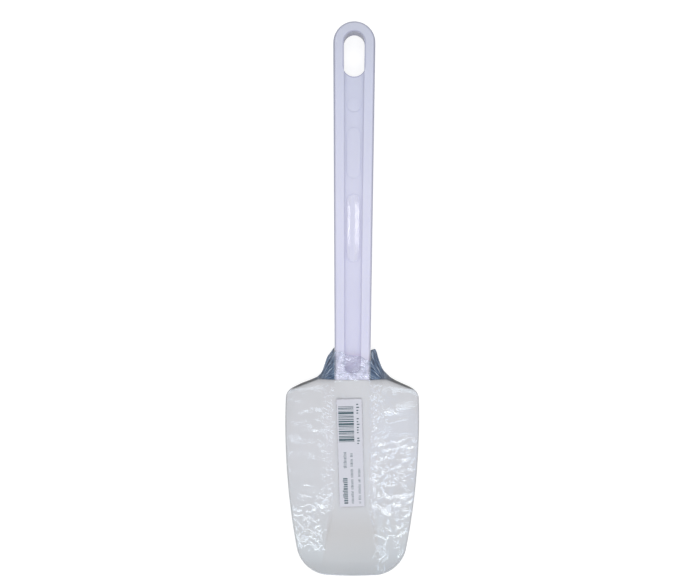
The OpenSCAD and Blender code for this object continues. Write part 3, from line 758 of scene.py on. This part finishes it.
# The block of plain bars, the ticks beside it and the rules that stand for words, in the label's frame
BARS_X, BARS_W = -5.1, 7.0
BARS_TOP, BARS_L = 21.6, 16.4
BAR_UNIT = 0.33
TICKS_X, TICKS_TOP, TICKS_L = 4.0, 22.6, 18.4
RULES = (
    # x of the line, its height across, where it starts, the lengths of its words, and that of a stroke
    (-2.9, 2.3, -23.4, (12.2,), 0.62),
    (-2.7, 1.5, -6.8, (7.6,), 0.24),
    (0.3, 1.2, -23.3, (5.6, 4.6, 4.1, 3.4, 1.8), 0.26),
    (3.6, 1.2, -23.3, (0.7, 2.0, 4.2, 1.6, 3.9), 0.22),
)
WORD_GAP, STROKE_GAP = 0.95, 0.36


def strokes(rng):
    """Rectangles (x0, x1, y0, y1) of the print: bars, ticks, and short strokes grouped like words."""
    boxes = []
    y = BARS_TOP
    while y > BARS_TOP - BARS_L:
        thick = BAR_UNIT * rng.choice([0.7, 1.2, 1.9, 3.0], p=[0.4, 0.3, 0.2, 0.1])
        boxes.append((BARS_X, BARS_X + BARS_W, y - thick, y))
        y -= thick + BAR_UNIT * rng.choice([0.8, 1.2, 1.8], p=[0.45, 0.35, 0.2])
    y = TICKS_TOP
    while y > TICKS_TOP - TICKS_L:
        boxes.append((TICKS_X - 0.8, TICKS_X + rng.uniform(-0.1, 0.5), y - 0.5, y))
        y -= rng.choice([1.2, 1.4, 2.6], p=[0.45, 0.35, 0.2])
    for x, high, start, words, stroke in RULES:
        y = start
        for word in words:
            end = y + word
            while y < end:
                long = min(stroke * rng.uniform(0.7, 1.2), end - y)
                tall = high * rng.uniform(0.75, 1.0)
                boxes.append((x + high / 2 - tall, x + high / 2, y, y + long))
                y += long + STROKE_GAP
            y = end + WORD_GAP
    return boxes


def make_label_print_and_edge_shade():
    """Thin ink on the label, and a grey line of painted edge shade just inside its edge in a second material
    slot.
    """
    origin, axes = label_frame()
    inked = strokes(np.random.default_rng(SEED + 4))
    w, l = LABEL_W / 2, LABEL_L / 2
    border = [
        (-w, -w + EDGE_SHADE_W, -l, l), (w - EDGE_SHADE_W, w, -l, l),
        (-w + EDGE_SHADE_W, w - EDGE_SHADE_W, -l, -l + EDGE_SHADE_W), (-w + EDGE_SHADE_W, w - EDGE_SHADE_W, l - EDGE_SHADE_W, l),
    ]
    points, faces, slots = [], [], []
    for x0, x1, y0, y1 in inked + border:
        k = len(points)
        for z in (LABEL_T - INK_T / 2, LABEL_T + INK_T / 2):
            points += [(x0, y0, z), (x1, y0, z), (x1, y1, z), (x0, y1, z)]
        faces += [[k + 3, k + 2, k + 1, k], [k + 4, k + 5, k + 6, k + 7]]
        faces += [[k + i, k + (i + 1) % 4, k + 4 + (i + 1) % 4, k + 4 + i] for i in range(4)]
        slots += 6 * [int(len(slots) >= 6 * len(inked))]
    world = origin + np.array(points) @ axes.T
    obj = new_mesh("label_print_and_edge_shade", world, faces)
    obj.data.polygons.foreach_set("use_smooth", [False] * len(faces))
    obj.data.materials.append(ink_material())
    obj.data.materials.append(edge_shade_material())
    obj.data.polygons.foreach_set("material_index", slots)
    return obj


# ------------------------ node trees
def by_maths(operation):
    """A method that adds a math node for this operation on the field and what the method is given."""
    return lambda field, *others: field.tree.maths(operation, field, *others)


class Field:
    """A number at each point of a surface. Arithmetic on fields adds math nodes to their tree."""

    __abs__, __add__, __sub__ = by_maths("ABSOLUTE"), by_maths("ADD"), by_maths("SUBTRACT")
    __mul__, __truediv__ = by_maths("MULTIPLY"), by_maths("DIVIDE")
    __lt__, __gt__, at_least = by_maths("LESS_THAN"), by_maths("GREATER_THAN"), by_maths("MAXIMUM")

    def __init__(self, tree, socket):
        self.tree, self.socket = tree, socket

    def __rsub__(self, other):
        return self.tree.maths("SUBTRACT", other, self)

    def rise(self, low, high, unit=1.0):
        """0 where the field is below low, 1 where it is above high, and a soft step between them."""
        step = self.tree.add("MapRange", interpolation_type="SMOOTHSTEP")
        return Field(self.tree, self.tree.fill(step, Value=self, From_Min=low * unit, From_Max=high * unit))


class Tree:
    """The node tree of a material or world. Its calls give the first output in use of the nodes they add."""

    def __init__(self, owner):
        owner.use_nodes = True
        self.nodes = owner.node_tree.nodes
        self.join = owner.node_tree.links.new
        self.main = self.nodes.get("Principled BSDF")

    def feed(self, socket, value):
        """Sets an input, or joins it to the output that the value is."""
        value = value.socket if isinstance(value, Field) else value
        if isinstance(value, bpy.types.NodeSocket):
            self.join(value, socket)
        else:
            socket.default_value = (*value, 1) if socket.type == "RGBA" else value

    def fill(self, node, **values):
        for name, value in values.items():
            self.feed(node.inputs[name.replace("_", " ")], value)
        return next(output for output in node.outputs if output.enabled)

    def add(self, kind, **properties):
        node = self.nodes.new("ShaderNode" + kind)
        for name, value in properties.items():
            setattr(node, name, value)
        return node

    def made(self, kind, **values):
        return self.fill(self.add(kind), **values)

    def set(self, **values):
        """Sets or joins inputs of the material's main shader."""
        self.fill(self.main, **values)

    def maths(self, operation, *values, clamp=False):
        node = self.add("Math", operation=operation, use_clamp=clamp)
        for socket, value in zip(node.inputs, values):
            self.feed(socket, value)
        return Field(self, node.outputs[0])

    def parts(self, vector):
        """The x, y and z of a vector."""
        split = self.add("SeparateXYZ")
        self.join(vector, split.inputs[0])
        return [Field(self, axis) for axis in split.outputs]

    def place(self):
        """The x, y and z of a point in the row frame, in metres."""
        return self.parts(self.add("TexCoord").outputs["Object"])

    def noise(self, scale_mm, detail):
        """A field of noise whose grains are about scale_mm across, in the row frame."""
        where = self.add("TexCoord").outputs["Object"]
        where = self.made("Mapping", Vector=where, Scale=[1 / (scale_mm * MM)] * 3)
        return Field(self, self.made("TexNoise", Vector=where, Scale=1.0, Detail=detail))

    def ramp(self, share, stops):
        """A colour that follows the share through these stops."""
        node = self.add("ValToRGB")
        elements = node.color_ramp.elements
        elements[0].position, elements[1].position = stops[0][0], stops[-1][0]
        elements[0].color, elements[1].color = (*stops[0][1], 1), (*stops[-1][1], 1)
        for position, colour in stops[1:-1]:
            elements.new(position).color = (*colour, 1)
        return self.fill(node, Fac=share)

    def mottled(self, colour, scale_mm, low, high):
        """The colour, varied softly between two brightnesses."""
        return self.ramp(self.noise(scale_mm, 4), [(0.3, shade(colour, low)), (0.7, shade(colour, high))])

    def tinted(self, colour, by, share=1.0):
        """The colour, times a tint where the share is 1."""
        product = self.add("Mix", data_type="RGBA", blend_type="MULTIPLY")
        return self.fill(product, Factor=share, A=colour, B=by)

    def along_tool(self, colour, stops_mm):
        """The colour times a tint that follows the place along the tool: (y in mm, tint) from the tip on."""
        first, last = stops_mm[0][0], stops_mm[-1][0]
        share = self.made("MapRange", Value=self.place()[1], From_Min=first * MM, From_Max=last * MM)
        stops = [((at - first) / (last - first), by) for at, by in stops_mm]
        return self.tinted(colour, self.ramp(share, stops))

    def bump(self, height, strength, distance_mm):
        """A bump on top of the one that the main shader has."""
        node = self.add("Bump")
        for link in self.main.inputs["Normal"].links:
            self.join(link.from_socket, node.inputs["Normal"])
        self.set(Normal=self.fill(node, Height=height, Strength=strength, Distance=distance_mm * MM))

    def shaders(self, kind, *inputs):
        """A mix or sum of shaders, whose inputs share a name."""
        node = self.add(kind)
        for socket, value in zip(node.inputs, inputs):
            self.feed(socket, value)
        return node.outputs[0]

    def show(self, shader, output="Material Output"):
        self.join(shader, self.nodes[output].inputs["Surface"])

    def by_ray(self, lights, seen):
        """One shader where it lights other things, and another where it is seen, mirrored or seen through."""
        path = self.add("LightPath").outputs
        camera, glossy, through = (
            Field(self, path[f"Is {ray} Ray"]) for ray in ("Camera", "Glossy", "Transmission"))
        is_seen = self.maths("ADD", camera, glossy + through, clamp=True)
        return self.shaders("MixShader", is_seen, lights, seen)


def shade(colour, by):
    return tuple(min(1.0, c * by) for c in colour)


def length(x, y):
    return x.tree.maths("SQRT", x * x + y * y)


def inside_stadium(x, y, foot_mm, long_mm, wide_mm):
    """How far inside the outline of a pad or slot with round ends a place is, in metres."""
    past = (abs(y - (foot_mm + long_mm / 2) * MM) - (long_mm - wide_mm) / 2 * MM).at_least(0.0)
    return wide_mm / 2 * MM - length(x, past)


# ------------------------ materials
HANDLE_COLOUR = (0.672, 0.664, 0.808)
BLADE_COLOUR = (0.608, 0.594, 0.602)
PAPER_COLOUR = (0.600, 0.597, 0.650)
# Grey of painted shade just inside the label's edge
LABEL_EDGE_SHADE_COLOUR = (0.400, 0.370, 0.400)
INK_COLOUR = (0.020, 0.045, 0.055)
# Painted shade: the handle darkens towards its top end
HANDLE_SHADE_STOPS = (
    (-40, (1.0, 1.0, 1.0)), (40, (0.99, 0.995, 0.98)),
    (100, (0.855, 0.88, 0.875)), (127, (0.765, 0.79, 0.765)),
)
# Painted shade: the blade gets darker and bluer towards the tip
BLADE_SHADE_STOPS = (
    (-127, (0.76, 0.815, 0.825)), (-118, (0.80, 0.835, 0.83)), (-108, (0.865, 0.875, 0.85)),
    (-92, (0.94, 0.945, 0.935)), (-70, (1.0, 1.0, 1.0)), (-36, (1.0, 0.995, 0.98)),
)
# Slate of the gathered film, whose pale stops are painted highlight streaks
SLATE_AND_HIGHLIGHT_STOPS = (
    (0.36, (0.012, 0.022, 0.055)), (0.45, (0.055, 0.095, 0.175)), (0.55, (0.125, 0.190, 0.300)),
    (0.61, (0.30, 0.37, 0.49)), (0.67, (0.68, 0.74, 0.81)),
)
# Dark grey of painted shade on the film towards the shoulders and the sides
SHOULDER_SHADE_COLOUR = (0.130, 0.130, 0.134)
# Heights y over which the hem of the film crosses the handle
HEM_Y = (-27.5, -23)
# Tints of painted shade on the handle's outer edges and on the slot's rim, and tints of the wrapped end and
# its channel
EDGE_SHADE_TINT, SLOT_SHADE_TINT = (0.60, 0.61, 0.65), (0.68, 0.68, 0.75)
WRAPPED_TINT, CHANNEL_TINT = (0.975, 0.945, 0.945), (1.0, 0.935, 0.98)
# Tints of painted light on the spine's sides, and of its lower end
SIDE_LIGHT_TINT, LOW_END_TINT = (1.11, 1.11, 1.12), (0.925, 0.89, 0.87)
# Where the painted highlight streaks of the ears meet (distance from the middle, and y), how many to a
# radian, and their length
FAN_AT = (16.0, -38.5)
FAN_STREAKS, FAN_LENGTH = 16.0, 5.0
# Share of light that the two faces of the film mirror face on, and the share of that which is soft
FACE_ON, SOFT_GLOSS = 0.085, 0.4


def material(name):
    mat = bpy.data.materials.new(name)
    return mat, Tree(mat)


def use(obj, mat):
    obj.data.materials.clear()
    obj.data.materials.append(mat)


def handle_material():
    mat, tree = material("handle_plastic")
    tree.set(IOR=1.49, Subsurface_Weight=0.25, Subsurface_Radius=(1.0, 1.0, 1.25), Subsurface_Scale=0.002)
    # The colour darkens towards the top end: painted shade
    colour = tree.along_tool(tree.mottled(HANDLE_COLOUR, 18, 0.985, 1.015), HANDLE_SHADE_STOPS)

    # Painted shade darkens the edges: the outer rounding of the rails, but for the wrapped end, and the rim
    # of the slot
    x, y, z = tree.place()
    normal_x, normal_y, _ = tree.parts(tree.add("NewGeometry").outputs["Normal"])
    outwards = normal_x * x + normal_y * (y - ARCH_Y * MM).at_least(0.0)
    outer = outwards.rise(0.3 * HANDLE_W / 2, 0.75 * HANDLE_W / 2, MM) * y.rise(-26, -20, MM)
    top_z = BACK_Z + HANDLE_T
    outer = outer * z.rise(top_z - 2 * RAIL_ROUND, top_z - RAIL_ROUND, MM)
    colour = tree.tinted(colour, EDGE_SHADE_TINT, outer)
    in_slot = inside_stadium(x, y, ARCH_Y + CHANNEL_W / 2 - SLOT_L, SLOT_L, CHANNEL_W)
    colour = tree.tinted(colour, SLOT_SHADE_TINT, in_slot.rise(-0.75, -0.25, MM))

    # The wrapped end is a little rosier, most so in the channel
    in_channel = (abs(x) < 4.3 * MM) * (z < (top_z - 0.6) * MM)
    wrapped = 1.0 - y.rise(*HEM_Y, MM)
    colour = tree.tinted(colour, WRAPPED_TINT, wrapped)
    tree.set(Base_Color=tree.tinted(colour, CHANNEL_TINT, in_channel * wrapped))

    # The lower pad is glossy but for a strip down its middle, and the rims of both long pads are soft
    low_pad = inside_stadium(x, y, LOW_PAD_Y, LOW_PAD_L, PAD_W)
    high_pad = inside_stadium(x, y, HIGH_PAD_Y, HIGH_PAD_L, PAD_W)
    raised = z > (BACK_Z + HANDLE_T / 2 + WEB_T / 2 + PAD_H / 2) * MM
    glossy = low_pad.rise(0.1, 0.5, MM) * raised * abs(x + 0.4 * MM).rise(0.8, 1.3, MM)
    rough = tree.made("MapRange", Value=tree.noise(0.9, 2), To_Min=0.30, To_Max=0.44)
    tree.set(Roughness=tree.made("Mix", Factor=glossy, A=rough, B=0.08))
    tree.bump(tree.noise(7, 3), 0.35, 0.25)
    rims = low_pad.rise(0.0, 0.6, MM) + high_pad.rise(0.0, 0.8, MM) * 0.2
    tree.bump(rims * raised, 1.0, 0.14)
    return mat


def blade_material():
    mat, tree = material("blade_plastic")
    tree.set(Roughness=0.5, IOR=1.47)
    tree.set(Subsurface_Weight=0.2, Subsurface_Radius=(1.2, 1.0, 0.9), Subsurface_Scale=0.002)
    # The colour darkens and turns bluer towards the tip: painted shade
    colour = tree.along_tool(tree.mottled(BLADE_COLOUR, 22, 0.98, 1.02), BLADE_SHADE_STOPS)

    # Painted light brightens the sides of the spine, and its lower end is browner: q as in make_blade
    x, y, _ = tree.place()
    b = SHOULDER_Y * MM - y
    half = (b - FLARE_SHARE * BLADE_L * MM).at_least(0.0) * FLARE_SLOPE + SPINE_W / 2 * MM
    run = b * ((side_run(SPINE_L) - side_run(0.0)) / SPINE_L) + side_run(0.0) * MM
    q = (abs(x) - half) / run
    side_light = q.rise(-0.3, 0.4) * (1.0 - q.rise(0.8, 1.5)) * (1.0 - b.rise(74, 84, MM))
    colour = tree.tinted(colour, SIDE_LIGHT_TINT, side_light)
    low_end = (1.0 - q.rise(0.0, 1.3)).at_least(b.rise(79, 88, MM)) * b.rise(54, 72, MM)
    tree.set(Base_Color=tree.tinted(colour, LOW_END_TINT, low_end))
    tree.bump(tree.noise(0.6, 2), 0.15, 0.05)
    return mat


def film_material():
    """Clear film that mirrors by its angle, and slate-blue film where it is gathered, with painted highlight
    streaks and painted shade.
    """
    mat, tree = material("clear_film")
    normal = tree.made("Bump", Height=tree.noise(1.1, 3), Strength=0.25, Distance=0.1 * MM)
    clear = tree.made("BsdfTransparent", Color=(0.985, 0.99, 1.0))
    sharp = tree.made("BsdfGlossy", Color=(0.93, 0.96, 1.0), Roughness=0.14, Normal=normal)
    soft = tree.made("BsdfGlossy", Color=(0.90, 0.95, 1.0), Roughness=0.36, Normal=normal)
    weight = tree.add("LayerWeight")
    tree.fill(weight, Blend=0.5)
    grazing = tree.maths("POWER", weight.outputs["Facing"], 5.0)
    gloss = tree.shaders("MixShader", SOFT_GLOSS, sharp, soft)
    sheet = tree.shaders("MixShader", grazing * (1 - FACE_ON) + FACE_ON, clear, gloss)

    # Painted highlight streaks fan out from where the ear meets the shoulder towards the handle
    x, y, _ = tree.place()
    from_x, from_y = FAN_AT[0] * MM - abs(x), y - FAN_AT[1] * MM
    turn, away = tree.maths("ARCTAN2", from_y, from_x), length(from_x, from_y)
    fan = tree.made("CombineXYZ", X=turn * FAN_STREAKS, Y=away / (FAN_LENGTH * MM), Z=tree.maths("SIGN", x))
    highlight_streak = tree.made("TexNoise", Vector=fan, Scale=1.0, Detail=3.5, Roughness=0.65, Distortion=0.6)
    # Far from the middle the film turns dark grey: painted shade
    shoulder_shade = tree.made("MapRange", Value=abs(x), From_Min=12 * MM, From_Max=19 * MM)
    slate_highlights_and_shade = tree.fill(tree.add("Mix", data_type="RGBA"), Factor=shoulder_shade,
                        A=tree.ramp(highlight_streak, SLATE_AND_HIGHLIGHT_STOPS), B=SHOULDER_SHADE_COLOUR)
    tree.set(Base_Color=slate_highlights_and_shade, Roughness=0.38, IOR=1.35, Normal=normal)
    bunching_and_shade = Field(tree, tree.add("Attribute", attribute_name="bunching_and_shade").outputs["Fac"])
    tree.show(tree.shaders("MixShader", bunching_and_shade * 0.97, sheet, tree.main.outputs[0]))
    return mat


def printed_material(name, roughness, grain_mm, detail, stops):
    """A matt material whose colour has a fine grain. Gives the material, its tree and the grain."""
    mat, tree = material(name)
    grain = tree.noise(grain_mm, detail)
    tree.set(Roughness=roughness, Base_Color=tree.ramp(grain, stops))
    return mat, tree, grain


def paper_material():
    stops = (0.3, shade(PAPER_COLOUR, 0.97)), (0.7, shade(PAPER_COLOUR, 1.02))
    mat, tree, fibre = printed_material("label_paper", 0.6, 0.5, 5, stops)
    tree.bump(fibre, 0.1, 0.02)
    return mat


def ink_material():
    stops = (0.35, INK_COLOUR), (0.75, shade(INK_COLOUR, 2.4))
    return printed_material("label_ink", 0.5, 0.7, 4, stops)[0]


# A grey line of painted shade just inside the label's edge
def edge_shade_material():
    stops = (0.35, LABEL_EDGE_SHADE_COLOUR), (0.7, shade(PAPER_COLOUR, 0.95))
    return printed_material("label_edge_shade", 0.6, 0.9, 4, stops)[0]


# ------------------------ camera, floor and light
CAMERA_H = 485.0
CAMERA_AT = (-1.33, 2.8)
# Width of the picture at the height of the tool's front
VIEW_W, VIEW_Z = 320.8, 5.0
ROLL = 0.32
SENSOR_W = 36.0
FLOOR_SIZE, FLOOR_Z = 6.0, -0.0002
# The floor's grey as it lights the tool, then its grey and glow as it is seen
FLOOR_GREY, SEEN_GREY, SEEN_GLOW = 0.5, 0.34, 0.80
FILL_COLOUR, FILL_STRENGTH = (0.95, 0.97, 1.0), 0.72
WHITE, SKY = (1.0, 1.0, 1.0), (0.80, 0.91, 1.0)
# Name, place, size, radiance and colour of each lamp. The sparkle boxes only show in gloss.
SOFTBOXES = (
    ("far_box", (0, 800, 800), (800, 420), 2.2, WHITE),
    ("near_box", (0, -800, 800), (800, 420), 3.4, WHITE),
)
SPARKLE_BOXES = (
    ("high_right", (150, 165, 420), (240, 290), 2.9, SKY),
    ("high_left", (-150, 165, 420), (240, 290), 2.0, SKY),
    ("low_right", (172, -300, 420), (175, 290), 3.3, SKY),
    ("low_left", (-172, -300, 420), (175, 290), 3.2, SKY),
    ("net_box", (0, -400, 420), (160, 130), 3.0, SKY),
    ("veil_box", (130, -160, 440), (200, 200), 0.55, (0.15, 0.45, 1.0)),
    ("pad_box", (2, 65, 485), (26, 34), 8.5, WHITE),
)


def add_camera():
    data = bpy.data.cameras.new("camera")
    data.sensor_fit = "HORIZONTAL"
    data.sensor_width = SENSOR_W
    data.lens = SENSOR_W * (CAMERA_H - VIEW_Z) / VIEW_W
    data.clip_start, data.clip_end = 0.01, 20.0
    camera = bpy.data.objects.new("camera", data)
    camera.location = (CAMERA_AT[0] * MM, CAMERA_AT[1] * MM, CAMERA_H * MM)
    camera.rotation_euler = (0, 0, math.radians(ROLL))
    bpy.context.scene.collection.objects.link(camera)
    bpy.context.scene.camera = camera


def add_floor():
    """A matt floor under the light, lifted to white where it is seen."""
    bpy.ops.mesh.primitive_plane_add(size=FLOOR_SIZE, location=(0, 0, FLOOR_Z))
    floor = bpy.context.object
    floor.name = "floor"
    mat, tree = material("floor_white")
    tree.nodes.remove(tree.main)
    matt, pale = (tree.made("BsdfDiffuse", Color=3 * (grey,)) for grey in (FLOOR_GREY, SEEN_GREY))
    lifted = tree.shaders("AddShader", pale, tree.made("Emission", Color=WHITE, Strength=SEEN_GLOW))
    tree.show(tree.by_ray(matt, lifted))
    use(floor, mat)


def add_world():
    world = bpy.data.worlds.new("studio")
    bpy.context.scene.world = world
    tree = Tree(world)
    fill = tree.fill(tree.nodes["Background"], Color=FILL_COLOUR, Strength=FILL_STRENGTH)
    white = tree.made("Background", Color=WHITE, Strength=1.0)
    tree.show(tree.by_ray(fill, white), "World Output")


def add_lamp(name, at_mm, size_mm, radiance, colour, sparkle):
    """An area lamp that faces the object, hidden from the camera."""
    data = bpy.data.lights.new(name, "AREA")
    data.shape = "RECTANGLE"
    data.size, data.size_y = size_mm[0] * MM, size_mm[1] * MM
    data.energy = radiance * math.pi * data.size * data.size_y
    data.color = colour
    lamp = bpy.data.objects.new(name, data)
    lamp.location = [c * MM for c in at_mm]
    aim = -np.array(at_mm, float)
    lamp.rotation_euler = (math.atan2(aim[1], math.hypot(aim[0], aim[2])), math.atan2(-aim[0], -aim[2]), 0)
    lamp.visible_camera = False
    lamp.visible_diffuse = not sparkle
    bpy.context.scene.collection.objects.link(lamp)


# ------------------------ put together
add_camera()
add_floor()
add_world()
for box in SOFTBOXES:
    add_lamp(*box, sparkle=False)
for box in SPARKLE_BOXES:
    add_lamp(*box, sparkle=True)

blade = make_blade()
use(blade, blade_material())
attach(blade, "root")
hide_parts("blade")

film = make_film()
use(film, film_material())
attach(film, "root")
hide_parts("shrink_film")

ink = make_label_print_and_edge_shade()
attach(ink, "root")

use(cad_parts["handle"], handle_material())
use(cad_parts["label"], paper_material())

bpy.context.scene.view_settings.view_transform = "Standard"
